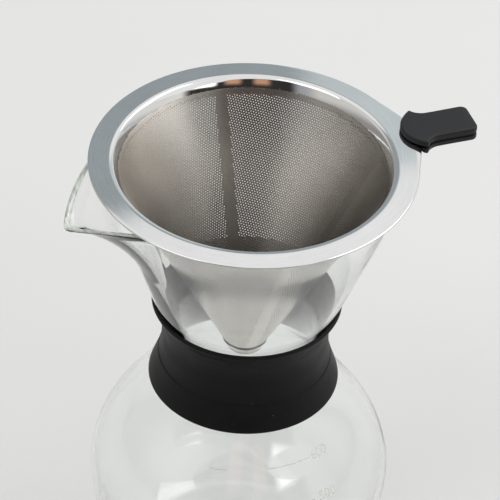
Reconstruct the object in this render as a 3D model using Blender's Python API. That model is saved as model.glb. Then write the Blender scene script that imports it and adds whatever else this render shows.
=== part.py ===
"""Pour over dripper: glass carafe with a spout, silicone neck sleeve, cone filter.

Units are metres, +Z is up and Z = 0 is the plane that the carafe stands on.
The carafe's spout points along -X. The filter's grip points along GRIP_AZIMUTH.
"""
import bpy
import bmesh
import math

# ---------------------------------------------------------------- dimensions
MM = 0.001
HEIGHT = 190.0 * MM              # stand plane to the top of the filter's flange

# carafe
WALL = 2.0 * MM                  # glass wall
BASE_WALL = 3.2 * MM             # glass at the bottom
GLASS_RIM_DROP = 1.2 * MM        # flange top down to the glass rim
FUNNEL_RADIUS = 57.1 * MM        # outside of the glass at the rim
FUNNEL_SLOPE = 0.3685            # radius gained per unit of height in the funnel
FOOT_RADIUS = 30.0 * MM          # flat that the carafe stands on

# spout
SPOUT_REACH = 15.7 * MM          # how far the tip stands out beyond the round rim
SPOUT_HALF_ANGLE = 29.1          # degrees each side of the spout's middle
SPOUT_POWER = 1.19               # how the reach falls off towards the sides
SPOUT_DROP = 8.7 * MM            # the tip lies this far below the rim
SPOUT_DROP_POWER = 1.94          # how the drop falls off towards the sides
SPOUT_DEPTH = 34.0 * MM          # height over which the spout fades into the funnel
SPOUT_FADE = 1.7                 # how the reach falls off with depth
SPOUT_TIP_ROUNDING = 0.06        # share of the half angle over which the tip is rounded
SPOUT_WALL_GAIN = 0.3            # the wall is this much thicker at the spout's middle

# neck sleeve
SLEEVE_TOP = 126.9 * MM
SLEEVE_BOTTOM = 89.5 * MM
SLEEVE_CREASE = 100.7 * MM       # height where the plain band meets the skirt
SLEEVE_LIP_RADIUS = 35.45 * MM
SLEEVE_BAND_RADIUS = 31.2 * MM
SLEEVE_SKIRT_RADIUS = 35.8 * MM
SLEEVE_GAP = 0.25 * MM           # clearance to the glass

# filter
FLANGE_RADIUS = 60.0 * MM
FLANGE_THICK = 0.8 * MM
FLANGE_INNER_RADIUS = 52.2 * MM  # where the flat of the flange ends
THROAT_RADIUS = 48.9 * MM        # inside of the throat where the sheet begins
THROAT_STEP_DEPTH = 3.5 * MM     # flange top to the step that the sheet sits under
THROAT_DEPTH = 6.0 * MM          # flange top to the lower edge of the collar round the sheet
THROAT_WALL = 0.6 * MM
CONE_SHEET = 0.4 * MM            # thickness of the sheet
CONE_SEAT_GAP = 0.3 * MM         # clearance between the sheet and the throat's collar
COLLAR_DROP = 0.3 * MM           # the step slopes down this much to the collar
CONE_TOP_DEPTH = 4.1 * MM        # flange top to the sheet's upper edge
CONE_END_DEPTH = 83.8 * MM       # flange top to the sheet's lower edge
CONE_SLOPE = 0.53                # radius lost per unit of depth
TIP_TOP_DEPTH = 81.8 * MM        # flange top to the cap's upper edge
TIP_END_DEPTH = 86.4 * MM        # flange top to the cap's lowest point
TIP_WALL = 0.5 * MM
TIP_GAP = 0.15 * MM              # clearance between the cap and the sheet
TIP_FLOOR_GAP = 0.2 * MM         # clearance under the sheet's lower edge

# tab and grip
GRIP_AZIMUTH = -3.65             # degrees from +X
TAB_FLARE_ANGLE = 22.0           # degrees each side where the tab leaves the flange
TAB_FLARE = 3.0 * MM             # how far the flare lifts the flange's edge beside the tab
TAB_HALF_WIDTH = 5.9 * MM
TAB_END = 79.6 * MM              # axis to the tab's outer end
TAB_CORNER = 2.0 * MM            # how far the tab's outer corners are cut back
TAB_CORNER_SPAN = 0.8            # degrees each side of a corner that are cut back
GRIP_INNER = 57.1 * MM           # axis to the middle of the grip's curved end
GRIP_OUTER = 84.6 * MM
GRIP_CORNER = 63.3 * MM          # axis to the grip's two pointed corners
GRIP_CORNER_HALF = 10.1 * MM
GRIP_WAIST_HALF = 7.15 * MM
GRIP_END_HALF = 7.2 * MM
GRIP_END_CORNER = 2.6 * MM       # radius of the two outer corners
GRIP_TOP = 2.5 * MM              # above the flange's top
GRIP_BOTTOM = 2.9 * MM           # below the flange's top
GRIP_LOWER_START = 61.2 * MM     # the grip's underside starts here, clear of the glass
SLOT_GAP = 0.2 * MM              # above and below the tab in the grip's slot
SLOT_SIDE_GAP = 0.3 * MM         # beside and beyond the tab in the grip's slot
SLOT_MOUTH = 2.6 * MM            # the slot widens up to this far beyond the grip's corners
CUT_START = GRIP_INNER - 4.0 * MM
CUT_HALF = 14.0 * MM             # half width of the cutters that are wider than the grip
GROOVE_DEPTH = 0.55 * MM
GROOVE_HALF = 0.3 * MM

SEGMENTS = 56                    # columns round each turned piece
TIP_SEGMENTS = 48                # columns round the cap
SPOUT_STEP = 3.2                 # degrees between columns across the spout
TAB_STEP = 1.1                   # degrees between columns across the tab


# ------------------------------------------------------------------- helpers
def material(name, color, roughness, metallic=0.0, transmission=0.0):
    """Return a new Principled material."""
    mat = bpy.data.materials.new(name)
    mat.use_nodes = True
    shader = mat.node_tree.nodes["Principled BSDF"]
    shader.inputs["Base Color"].default_value = (*color, 1.0)
    shader.inputs["Roughness"].default_value = roughness
    shader.inputs["Metallic"].default_value = metallic
    shader.inputs["Transmission Weight"].default_value = transmission
    return mat


def finish(name, bm, mat, smooth_angle=30.0):
    """Turn a bmesh into a named object with outward normals and smooth shading."""
    bmesh.ops.remove_doubles(bm, verts=bm.verts, dist=1e-7)
    bmesh.ops.recalc_face_normals(bm, faces=bm.faces)
    mesh = bpy.data.meshes.new(name)
    bm.to_mesh(mesh)
    bm.free()
    mesh.materials.append(mat)
    for poly in mesh.polygons:
        poly.use_smooth = True
    mesh.set_sharp_from_angle(angle=math.radians(smooth_angle))
    obj = bpy.data.objects.new(name, mesh)
    bpy.context.scene.collection.objects.link(obj)
    return obj


def even_angles(count):
    """Evenly spaced angles in radians over a full turn."""
    return [2.0 * math.pi * i / count for i in range(count)]


def angles_with_detail(center_deg, half_deg, fine_deg, count):
    """Angles over a full turn, closer together within half_deg of center_deg."""
    coarse = 360.0 / count
    rest = 360.0 - 2.0 * half_deg
    n_rest = int(round(rest / coarse))
    n_fine = int(round(2.0 * half_deg / fine_deg))
    out = []
    for i in range(n_fine):
        out.append(center_deg - half_deg + 2.0 * half_deg * i / n_fine)
    for i in range(n_rest):
        out.append(center_deg + half_deg + rest * i / n_rest)
    return [math.radians(a) for a in out]


def signed_offset(angle, center_deg):
    """Angle from center_deg in degrees, within -180 to 180."""
    return (math.degrees(angle) - center_deg + 180.0) % 360.0 - 180.0


def closed_ring(angles, section):
    """Sweep a closed section round Z. section(angle) returns a list of (r, z)."""
    bm = bmesh.new()
    columns = []
    for angle in angles:
        points = section(angle)
        columns.append([bm.verts.new((r * math.cos(angle), r * math.sin(angle), z)) for r, z in points])
    for i, column in enumerate(columns):
        after = columns[(i + 1) % len(columns)]
        for j in range(len(column)):
            k = (j + 1) % len(column)
            bm.faces.new((column[j], after[j], after[k], column[k]))
    return bm


def capped_ring(angles, section):
    """Sweep an open section round Z whose first and last points lie on the axis."""
    bm = bmesh.new()
    columns = []
    first = section(angles[0])
    pole_a = bm.verts.new((0.0, 0.0, first[0][1]))
    pole_b = bm.verts.new((0.0, 0.0, first[-1][1]))
    for angle in angles:
        points = section(angle)[1:-1]
        columns.append([bm.verts.new((r * math.cos(angle), r * math.sin(angle), z)) for r, z in points])
    for i, column in enumerate(columns):
        after = columns[(i + 1) % len(columns)]
        bm.faces.new((pole_a, after[0], column[0]))
        bm.faces.new((pole_b, column[-1], after[-1]))
        for j in range(len(column) - 1):
            bm.faces.new((column[j], after[j], after[j + 1], column[j + 1]))
    return bm


def interpolate(table, z):
    """Smooth radius at height z from a table of (z, r) rising in z (monotone cubic)."""
    if z <= table[0][0]:
        return table[0][1]
    if z >= table[-1][0]:
        return table[-1][1]
    steps = []
    for a, b in zip(table[:-1], table[1:]):
        steps.append((b[1] - a[1]) / (b[0] - a[0]))
    tangents = [steps[0]]
    for a, b in zip(steps[:-1], steps[1:]):
        tangents.append(0.0 if a * b <= 0.0 else 2.0 * a * b / (a + b))
    tangents.append(steps[-1])
    for i in range(len(steps)):
        z0, r0 = table[i]
        z1, r1 = table[i + 1]
        if z <= z1:
            span = z1 - z0
            t = (z - z0) / span
            h00 = (1.0 + 2.0 * t) * (1.0 - t) ** 2
            h10 = t * (1.0 - t) ** 2
            h01 = t * t * (3.0 - 2.0 * t)
            h11 = t * t * (t - 1.0)
            return h00 * r0 + h10 * span * tangents[i] + h01 * r1 + h11 * span * tangents[i + 1]
    return table[-1][1]


# -------------------------------------------------------------------- carafe
GLASS_TOP = HEIGHT - GLASS_RIM_DROP

# outside of the glass in millimetres, height and radius from the foot to the rim
GLASS_POINTS = [
    (0.0, 32.0), (1.0, 35.0), (3.5, 38.9), (8.0, 43.4), (15.0, 49.0), (24.0, 53.4), (34.0, 56.1),
    (46.8, 56.9), (56.0, 55.2), (62.0, 53.0), (68.0, 49.8), (74.0, 45.7), (78.0, 42.7), (82.0, 39.7),
    (86.0, 36.9), (90.0, 34.5), (94.0, 32.5), (98.0, 30.8), (102.0, 29.6), (106.0, 28.9),
    (110.5, 28.7), (114.5, 29.6), (118.5, 30.95), (122.5, 32.5),
]
GLASS_TABLE = [(z * MM, r * MM) for z, r in GLASS_POINTS]
STRAIGHT_START = 126.5 * MM      # the funnel's wall is straight from here up
GLASS_TABLE.append((STRAIGHT_START, FUNNEL_RADIUS - FUNNEL_SLOPE * (GLASS_TOP - STRAIGHT_START)))
GLASS_TABLE.append((GLASS_TOP, FUNNEL_RADIUS))

OUTER_ROWS = [0.4, 1.6, 4.0, 8.0, 14.0, 21.0, 29.0, 38.0, 47.0, 55.0, 62.0, 68.0, 74.0, 80.0]
OUTER_ROWS += [85.0, 90.0, 95.0, 100.0, 105.0, 110.5, 116.0, 121.0, 126.5]
FUNNEL_ROWS = [145.0, 153.0, 160.0, 166.0, 172.0, 177.0, 181.0, 185.0]
INNER_ROWS = [4.0, 8.0, 15.0, 24.0, 35.0, 47.0, 58.0, 67.0, 75.0, 83.0, 90.0, 97.0, 104.0]
INNER_ROWS += [110.5, 117.0, 126.5]


def spout_share(angle):
    """1 at the spout's middle, falling in a straight line to 0 at its sides."""
    off = abs(signed_offset(angle, 180.0)) / SPOUT_HALF_ANGLE
    if off >= 1.0:
        return 0.0
    soft = math.sqrt(off * off + SPOUT_TIP_ROUNDING ** 2) - SPOUT_TIP_ROUNDING
    full = math.sqrt(1.0 + SPOUT_TIP_ROUNDING ** 2) - SPOUT_TIP_ROUNDING
    return 1.0 - soft / full


def spout_fade(z):
    """How much of the spout is left at this height, 1 at the rim."""
    t = (z - (GLASS_TOP - SPOUT_DEPTH)) / SPOUT_DEPTH
    return min(1.0, max(0.0, t)) ** SPOUT_FADE


def glass_outside(z, angle):
    """Outside radius of the glass."""
    return interpolate(GLASS_TABLE, z) + SPOUT_REACH * spout_share(angle) ** SPOUT_POWER * spout_fade(z)


def dropped(z, angle):
    """Height z after the rim is drawn down at the spout."""
    return z - SPOUT_DROP * spout_share(angle) ** SPOUT_DROP_POWER * spout_fade(z)


def glass_section(angle):
    """Outside up, over the rim and down the inside."""
    top = dropped(GLASS_TOP, angle)
    wall = WALL * (1.0 + SPOUT_WALL_GAIN * spout_share(angle))
    top_r = glass_outside(GLASS_TOP, angle)
    points = [(0.0, 0.0), (FOOT_RADIUS, 0.0)]
    for row in OUTER_ROWS + FUNNEL_ROWS:
        z = row * MM
        points.append((glass_outside(z, angle), dropped(z, angle)))
    points.append((top_r - 0.03 * MM, top - 0.9 * MM))
    points.append((top_r - 0.25 * wall, top - 0.2 * MM))
    points.append((top_r - 0.5 * wall, top))
    points.append((top_r - 0.75 * wall, top - 0.2 * MM))
    points.append((top_r - wall + 0.03 * MM, top - 0.9 * MM))
    for row in reversed(INNER_ROWS + FUNNEL_ROWS):
        z = row * MM
        r = glass_outside(z, angle)
        slope = (glass_outside(z + 0.5 * MM, angle) - glass_outside(z - 0.5 * MM, angle)) / MM
        tilt = math.sqrt(1.0 + slope * slope)
        if row < 40.0:
            points.append((r - wall * tilt * 0.75 - 0.3 * MM, max(z, BASE_WALL + 0.12 * z)))
        else:
            points.append((r - wall * tilt, dropped(z, angle)))
    points.append((FOOT_RADIUS, BASE_WALL))
    points.append((0.0, BASE_WALL))
    return points


# -------------------------------------------------------------- neck sleeve
def sleeve_section(angle):
    """Silicone sleeve: flared lip, plain band, crease and flared skirt."""
    def inner(z):
        return interpolate(GLASS_TABLE, z) + SLEEVE_GAP
    band = SLEEVE_BAND_RADIUS
    lip = SLEEVE_LIP_RADIUS
    skirt = SLEEVE_SKIRT_RADIUS
    crease = SLEEVE_CREASE
    top = SLEEVE_TOP
    low = SLEEVE_BOTTOM
    points = [
        (skirt - 0.8 * MM, low),
        (skirt - 0.15 * MM, low + 0.25 * MM),
        (skirt, low + 0.8 * MM),
        (skirt - 0.45 * MM, low + 2.2 * MM),
        (skirt - 1.3 * MM, low + 4.6 * MM),
        (skirt - 2.35 * MM, low + 7.6 * MM),
        (band + 1.35 * MM, crease - 0.6 * MM),
        (band + 1.0 * MM, crease),
        (band + 0.8 * MM, crease + 0.6 * MM),
        (band + 0.3 * MM, crease + 4.3 * MM),
        (band, crease + 10.0 * MM),
        (band + 0.3 * MM, top - 12.4 * MM),
        (band + 1.0 * MM, top - 9.1 * MM),
        (band + 1.8 * MM, top - 6.2 * MM),
        (band + 2.8 * MM, top - 3.9 * MM),
        (lip - 0.35 * MM, top - 2.0 * MM),
        (lip, top - 1.1 * MM),
        (lip - 0.15 * MM, top - 0.4 * MM),
        (lip - 0.5 * MM, top - 0.05 * MM),
    ]
    points.append((inner(top) + 0.05 * MM, top))
    for z in (top - 4.0 * MM, top - 8.0 * MM, top - 12.0 * MM, top - 16.4 * MM):
        points.append((inner(z), z))
    points.append((inner(crease + 3.0 * MM), crease + 3.0 * MM))
    points.append((inner(crease - 2.0 * MM), crease - 2.0 * MM))
    points.append((inner(low + 4.0 * MM), low + 4.0 * MM))
    points.append((inner(low) + 0.1 * MM, low))
    return points


# ---------------------------------------------------------------- filter rim
def flange_edge(angle):
    """Outer radius of the flange and its tab."""
    off = abs(signed_offset(angle, GRIP_AZIMUTH))
    if off >= TAB_FLARE_ANGLE:
        return FLANGE_RADIUS
    a = math.radians(off)
    end = (TAB_END - TAB_CORNER) / math.cos(a)
    round_end = TAB_END / math.cos(a)
    side = TAB_HALF_WIDTH / math.sin(a) if off > 0.3 else 1.0
    strip = min(round_end, side)
    corner = math.degrees(math.atan2(TAB_HALF_WIDTH, TAB_END))
    if abs(off - corner) < TAB_CORNER_SPAN:
        strip = min(strip, end + 0.55 * TAB_CORNER)
    share = off / TAB_FLARE_ANGLE
    flare = FLANGE_RADIUS + TAB_FLARE * (1.0 - share) ** 2 * (1.0 + 2.0 * share)
    return max(FLANGE_RADIUS, strip, flare)


def cone_inside(depth):
    """Inside radius of the cone sheet at this depth below the flange's top."""
    return THROAT_RADIUS - CONE_SLOPE * (depth - THROAT_STEP_DEPTH)


def rim_section(angle):
    """Stamped flange with a drawn throat and a stepped collar round the sheet, one piece."""
    top = HEIGHT
    thick = FLANGE_THICK
    edge = flange_edge(angle)
    inner = FLANGE_INNER_RADIUS
    throat = THROAT_RADIUS
    wall = THROAT_WALL
    end_z = top - THROAT_DEPTH
    seat = THROAT_STEP_DEPTH + COLLAR_DROP
    collar = CONE_SHEET + CONE_SEAT_GAP
    return [
        (cone_inside(THROAT_DEPTH) + collar, end_z),
        (cone_inside(seat) + collar, top - seat),
        (throat, top - THROAT_STEP_DEPTH),
        (throat + 0.45 * MM, top - 2.3 * MM),
        (throat + 1.2 * MM, top - 1.15 * MM),
        (throat + 2.15 * MM, top - 0.35 * MM),
        (inner, top),
        (0.5 * (inner + FLANGE_RADIUS), top),
        (min(edge, FLANGE_RADIUS) - 0.8 * MM, top),
        (edge - 0.25 * MM, top),
        (edge, top - 0.25 * MM),
        (edge, top - thick + 0.25 * MM),
        (edge - 0.25 * MM, top - thick),
        (min(edge, FLANGE_RADIUS) - 0.8 * MM, top - thick),
        (0.5 * (inner + FLANGE_RADIUS), top - thick),
        (inner + 0.3 * MM, top - thick),
        (throat + 2.3 * MM, top - 1.3 * MM),
        (throat + 1.6 * MM, top - 2.2 * MM),
        (cone_inside(seat) + collar + wall, top - seat + 0.3 * MM),
        (cone_inside(THROAT_DEPTH) + collar + wall, end_z),
    ]


# --------------------------------------------------------------- filter cone
def cone_section(angle):
    """Thin conical sheet, open at both ends."""
    depths = [CONE_TOP_DEPTH, 14.0 * MM, 32.0 * MM, 50.0 * MM, 68.0 * MM, CONE_END_DEPTH]
    inside = [(cone_inside(d), HEIGHT - d) for d in depths]
    outside = [(cone_inside(d) + CONE_SHEET, HEIGHT - d) for d in reversed(depths)]
    return inside + outside


def tip_section(angle):
    """Pressed cap over the cone's lower end."""
    top = HEIGHT - TIP_TOP_DEPTH
    end = HEIGHT - TIP_END_DEPTH
    seat = HEIGHT - CONE_END_DEPTH - TIP_FLOOR_GAP
    upper = cone_inside(TIP_TOP_DEPTH) + CONE_SHEET + TIP_GAP
    lower = cone_inside(CONE_END_DEPTH) + CONE_SHEET + TIP_GAP
    return [
        (0.0, end),
        (3.3 * MM, end + 0.1 * MM),
        (5.2 * MM, end + 0.55 * MM),
        (lower + TIP_WALL - 0.55 * MM, end + 1.3 * MM),
        (lower + TIP_WALL, seat + 0.1 * MM),
        (upper + TIP_WALL, top - 0.1 * MM),
        (upper + TIP_WALL * 0.5, top),
        (upper, top - 0.1 * MM),
        (lower, seat + 0.1 * MM),
        (lower - 0.55 * MM, seat - 0.55 * MM),
        (5.0 * MM, end + 1.05 * MM),
        (3.2 * MM, end + 0.6 * MM),
        (0.0, end + 0.5 * MM),
    ]


# ---------------------------------------------------------------------- grip
def grip_outline(shrink=0.0):
    """Closed outline in the grip's own plane, x along the tab, y across it."""
    half = [(GRIP_INNER + shrink, 0.0)]
    for share in (0.2, 0.4, 0.6, 0.8, 0.95):
        y = GRIP_CORNER_HALF * share
        x = GRIP_INNER + (GRIP_CORNER - GRIP_INNER) * share ** 2.2
        half.append((x + shrink, y * (1.0 - shrink / GRIP_CORNER_HALF)))
    half.append((GRIP_CORNER + 0.15 * MM, GRIP_CORNER_HALF - shrink))
    half.append((GRIP_CORNER + 0.7 * MM, GRIP_CORNER_HALF - 0.4 * MM - shrink))
    half.append((GRIP_CORNER + 1.7 * MM, GRIP_WAIST_HALF + 1.45 * MM - shrink))
    half.append((GRIP_CORNER + 3.1 * MM, GRIP_WAIST_HALF + 0.6 * MM - shrink))
    half.append((GRIP_CORNER + 4.8 * MM, GRIP_WAIST_HALF + 0.1 * MM - shrink))
    half.append((GRIP_CORNER + 7.0 * MM, GRIP_WAIST_HALF - shrink))
    half.append((GRIP_CORNER + 12.0 * MM, GRIP_WAIST_HALF - shrink))
    corner = GRIP_END_CORNER
    cx = GRIP_OUTER - corner
    cy = GRIP_END_HALF - corner
    for step in range(7):
        a = math.radians(90.0 - 15.0 * step)
        half.append((cx + (corner - shrink) * math.cos(a), cy + (corner - shrink) * math.sin(a)))
    mirrored = [(x, -y) for x, y in reversed(half[1:])]
    return half + mirrored


def prism(name, outline, z_low, z_high, mat):
    """Extrude a closed outline between two heights."""
    bm = bmesh.new()
    low = [bm.verts.new((x, y, z_low)) for x, y in outline]
    high = [bm.verts.new((x, y, z_high)) for x, y in outline]
    bm.faces.new(list(reversed(low)))
    bm.faces.new(high)
    count = len(outline)
    for i in range(count):
        j = (i + 1) % count
        bm.faces.new((low[i], low[j], high[j], high[i]))
    return finish(name, bm, mat)


def stacked_prism(name, layers, mat):
    """Stack outlines of equal length at rising heights into one closed body."""
    bm = bmesh.new()
    rings = []
    for outline, z in layers:
        rings.append([bm.verts.new((x, y, z)) for x, y in outline])
    bm.faces.new(list(reversed(rings[0])))
    bm.faces.new(rings[-1])
    for low, high in zip(rings[:-1], rings[1:]):
        for i in range(len(low)):
            j = (i + 1) % len(low)
            bm.faces.new((low[i], low[j], high[j], high[i]))
    return finish(name, bm, mat)


def cut(target, cutter):
    """Subtract one object from another with a Boolean modifier."""
    modifier = target.modifiers.new(cutter.name, "BOOLEAN")
    modifier.operation = "DIFFERENCE"
    modifier.solver = "EXACT"
    modifier.object = cutter
    cutter.hide_render = True
    cutter.display_type = "WIRE"


def turn_to_grip(obj):
    """Turn an object built along +X to the grip's direction."""
    obj.rotation_euler = (0.0, 0.0, math.radians(GRIP_AZIMUTH))


def rectangle(x0, x1, half):
    """Outline of a rectangle centred on y = 0."""
    return [(x0, -half), (x1, -half), (x1, half), (x0, half)]


def build_grip(mat):
    """Silicone grip: one moulding with a slot for the tab and a groove round its side."""
    mid = HEIGHT - 0.5 * FLANGE_THICK
    top = HEIGHT + GRIP_TOP
    low = HEIGHT - GRIP_BOTTOM
    full = grip_outline()
    layers = [
        (grip_outline(0.6 * MM), low),
        (grip_outline(0.2 * MM), low + 0.2 * MM),
        (full, low + 0.6 * MM),
        (full, mid - 0.75 * MM),
        (grip_outline(GROOVE_DEPTH), mid - 0.75 * MM + GROOVE_HALF),
        (grip_outline(GROOVE_DEPTH), mid - 0.1 * MM),
        (full, mid + 0.65 * MM),
        (full, top - 0.6 * MM),
        (grip_outline(0.2 * MM), top - 0.2 * MM),
        (grip_outline(0.6 * MM), top),
    ]
    grip = stacked_prism("grip", layers, mat)
    turn_to_grip(grip)
    slot_low = HEIGHT - FLANGE_THICK - SLOT_GAP
    slot_high = HEIGHT + SLOT_GAP
    slot = prism(
        "cut_slot",
        rectangle(CUT_START, TAB_END + SLOT_SIDE_GAP, TAB_HALF_WIDTH + SLOT_SIDE_GAP),
        slot_low, slot_high, mat)
    turn_to_grip(slot)
    cut(grip, slot)
    mouth = prism(
        "cut_mouth",
        rectangle(CUT_START, GRIP_CORNER + SLOT_MOUTH, CUT_HALF),
        slot_low, slot_high, mat)
    turn_to_grip(mouth)
    cut(grip, mouth)
    under = prism(
        "cut_under",
        rectangle(CUT_START, GRIP_LOWER_START, CUT_HALF),
        low - 2.0 * MM, slot_high, mat)
    turn_to_grip(under)
    cut(grip, under)
    return grip


# --------------------------------------------------------------------- build
for old in list(bpy.data.objects):
    bpy.data.objects.remove(old, do_unlink=True)

glass = material("clear_glass", (0.93, 0.96, 0.95), 0.02, 0.0, 1.0)
sleeve_black = material("sleeve_silicone", (0.012, 0.012, 0.013), 0.55)
grip_black = material("grip_silicone", (0.02, 0.02, 0.022), 0.6)
flange_steel = material("flange_steel", (0.62, 0.63, 0.65), 0.3, 1.0)
sheet_steel = material("perforated_steel", (0.52, 0.49, 0.46), 0.38, 1.0)
tip_steel = material("tip_steel", (0.6, 0.58, 0.56), 0.3, 1.0)

spout_angles = angles_with_detail(180.0, SPOUT_HALF_ANGLE, SPOUT_STEP, SEGMENTS)
tab_angles = angles_with_detail(GRIP_AZIMUTH, TAB_FLARE_ANGLE, TAB_STEP, SEGMENTS)

carafe = finish("carafe", capped_ring(spout_angles, glass_section), glass, 40.0)
neck_sleeve = finish("neck_sleeve", closed_ring(even_angles(SEGMENTS), sleeve_section), sleeve_black, 40.0)
filter_rim = finish("filter_rim", closed_ring(tab_angles, rim_section), flange_steel, 35.0)
filter_cone = finish("filter_cone", closed_ring(even_angles(SEGMENTS), cone_section), sheet_steel)
filter_tip = finish("filter_tip", capped_ring(even_angles(TIP_SEGMENTS), tip_section), tip_steel, 35.0)
grip = build_grip(grip_black)
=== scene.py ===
import bpy
import bmesh
import math
from mathutils import Matrix, Vector


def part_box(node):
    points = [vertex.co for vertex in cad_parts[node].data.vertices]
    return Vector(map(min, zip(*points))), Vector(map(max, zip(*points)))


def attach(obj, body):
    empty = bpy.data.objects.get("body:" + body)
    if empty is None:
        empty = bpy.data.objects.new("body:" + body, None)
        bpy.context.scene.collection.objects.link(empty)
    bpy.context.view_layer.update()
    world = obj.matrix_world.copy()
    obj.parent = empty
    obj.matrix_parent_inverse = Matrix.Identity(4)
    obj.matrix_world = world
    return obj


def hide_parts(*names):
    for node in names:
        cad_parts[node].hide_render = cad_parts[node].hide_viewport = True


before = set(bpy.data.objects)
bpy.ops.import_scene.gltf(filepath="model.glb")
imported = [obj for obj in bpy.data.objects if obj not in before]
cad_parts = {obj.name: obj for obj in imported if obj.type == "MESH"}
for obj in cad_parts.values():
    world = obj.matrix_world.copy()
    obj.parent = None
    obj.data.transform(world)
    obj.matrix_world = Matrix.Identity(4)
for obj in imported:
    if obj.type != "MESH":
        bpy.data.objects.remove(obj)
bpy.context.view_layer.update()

MM = 0.001
VIEW_TURN = math.radians(-24.65)            # from the camera's own turn to the frame's
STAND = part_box("carafe")[0][2]
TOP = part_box("filter_rim")[1][2]            # top of the filter's flange

# ------------------------------------------------------------ dimensions
# carafe
WALL = 2.0 * MM
BASE_WALL = 3.2 * MM
GLASS_TOP = TOP - 1.2 * MM
FUNNEL_RADIUS = 57.1 * MM
FUNNEL_SLOPE = 0.3685
FOOT_RADIUS = 30.0 * MM
RIM_BAND = 0.75 * MM             # depth of the rim that shows its green edge

# spout
SPOUT_REACH = 15.7 * MM
SPOUT_HALF_ANGLE = 29.1
SPOUT_POWER = 1.19
SPOUT_DROP = 8.7 * MM
SPOUT_DROP_POWER = 1.94
SPOUT_DEPTH = 34.0 * MM
SPOUT_FADE = 1.7
SPOUT_TIP_ROUNDING = 0.06
SPOUT_WALL_GAIN = 0.3            # the wall is this much thicker at the spout's middle

# neck sleeve
SLEEVE_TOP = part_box("neck_sleeve")[1][2]
SLEEVE_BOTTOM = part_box("neck_sleeve")[0][2]
SLEEVE_CREASE = SLEEVE_BOTTOM + 11.2 * MM
SLEEVE_LIP_RADIUS = 35.45 * MM
SLEEVE_BAND_RADIUS = 31.2 * MM
SLEEVE_SKIRT_RADIUS = 35.75 * MM
SLEEVE_GAP = 0.2 * MM

# filter
FLANGE_RADIUS = 60.0 * MM
FLANGE_THICK = 0.8 * MM
FLANGE_INNER_RADIUS = 52.2 * MM
THROAT_RADIUS = 48.9 * MM
THROAT_STEP_DEPTH = 3.5 * MM
THROAT_DEPTH = 6.0 * MM
THROAT_WALL = 0.6 * MM
CONE_SEAT_GAP = 0.12 * MM
COLLAR_DROP = 0.16 * MM          # the throat's step slopes down this much to the collar
FLANGE_FALL = 0.28 * MM          # the flange's edge lies this much below its inner bend
CONE_SHEET = 0.36 * MM
CONE_TOP_DEPTH = 3.66 * MM
CONE_END_DEPTH = 83.8 * MM
CONE_SLOPE = 0.53
CONE_END_RADIUS = THROAT_RADIUS - CONE_SLOPE * (CONE_END_DEPTH - THROAT_STEP_DEPTH)
TIP_TOP_DEPTH = 81.8 * MM
TIP_END_DEPTH = 86.4 * MM
TIP_WALL = 0.45 * MM
TIP_GAP = 0.1 * MM
TIP_FLOOR_GAP = 0.2 * MM

# perforated sheet
HOLE_PITCH = 1.01 * MM
HOLE_RADIUS = 0.23 * MM
LANE_HALF = 1.95 * MM            # half width of a plain lane
LANE_ANGLES = [81.65, 172.85, 263.35, 354.35]
LANE_PROUD = 0.02 * MM           # the lanes stand this much over both faces of the panels

# tab and grip
GRIP_AZIMUTH = -3.65
TAB_FLARE_ANGLE = 22.0
TAB_FLARE = 3.0 * MM
TAB_HALF_WIDTH = 5.9 * MM
TAB_END = 79.5 * MM
GRIP_INNER = 57.1 * MM
GRIP_OUTER = 84.6 * MM
GRIP_CORNER = 63.3 * MM
GRIP_CORNER_HALF = 10.1 * MM
GRIP_WAIST_HALF = 7.15 * MM
GRIP_END_HALF = 7.2 * MM
GRIP_END_CORNER = 2.6 * MM
GRIP_TOP = 2.5 * MM
GRIP_BOTTOM = 2.9 * MM
GRIP_LOWER_START = 61.2 * MM
SLOT_GAP = 0.18 * MM
SLOT_MOUTH = 2.6 * MM            # the slot is open up to this far beyond the grip's corners
GROOVE_DEPTH = 0.55 * MM

# printed scale
INK_LOW = 0.02 * MM              # the print's two faces stand this far off the glass
INK_HIGH = 0.06 * MM
MARK_HALF = 0.16 * MM            # half width of a printed line
MARK_SIZE = 5.2 * MM             # height of the type

# painted shade and painted light on the inside of the sheet
SHEET_PAINTED_LIGHT_START = 14.0 * MM
SHEET_PAINTED_LIGHT_FULL = 42.0 * MM
SHEET_PAINTED_LIGHT_SIDE = 178.0         # the side with painted light, in the camera's own turn
SHEET_PAINTED_SHADE_LOW = 125.0 * MM
SHEET_PAINTED_SHADE_HIGH = 172.0 * MM


# --------------------------------------------------------------- helpers
def add_mesh(name, verts, faces, smooth=True, sharp_deg=None):
    """A new object in the scene, smooth except where faces meet at more than sharp_deg."""
    mesh = bpy.data.meshes.new(name)
    mesh.from_pydata(verts, [], faces)
    mesh.validate()
    mesh.update()
    if smooth:
        mesh.polygons.foreach_set("use_smooth", [True] * len(mesh.polygons))
        if sharp_deg is not None:
            mesh.set_sharp_from_angle(angle=math.radians(sharp_deg))
    obj = bpy.data.objects.new(name, mesh)
    bpy.context.scene.collection.objects.link(obj)
    return obj


def angle_list(center_deg, half_deg, fine_deg, coarse_deg):
    """Angles over a full turn, closer together within half_deg of center_deg."""
    rest = 360.0 - 2.0 * half_deg
    n_fine = int(round(2.0 * half_deg / fine_deg))
    n_rest = int(round(rest / coarse_deg))
    out = [center_deg - half_deg + 2.0 * half_deg * i / n_fine for i in range(n_fine)]
    out += [center_deg + half_deg + rest * i / n_rest for i in range(n_rest)]
    return [math.radians(a) for a in out]


def even(count):
    """Evenly spaced angles over a full turn."""
    return [2.0 * math.pi * i / count for i in range(count)]


def offset_deg(angle, center_deg):
    """Angle from center_deg in degrees, within -180 to 180."""
    return (math.degrees(angle) - center_deg + 180.0) % 360.0 - 180.0


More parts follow.
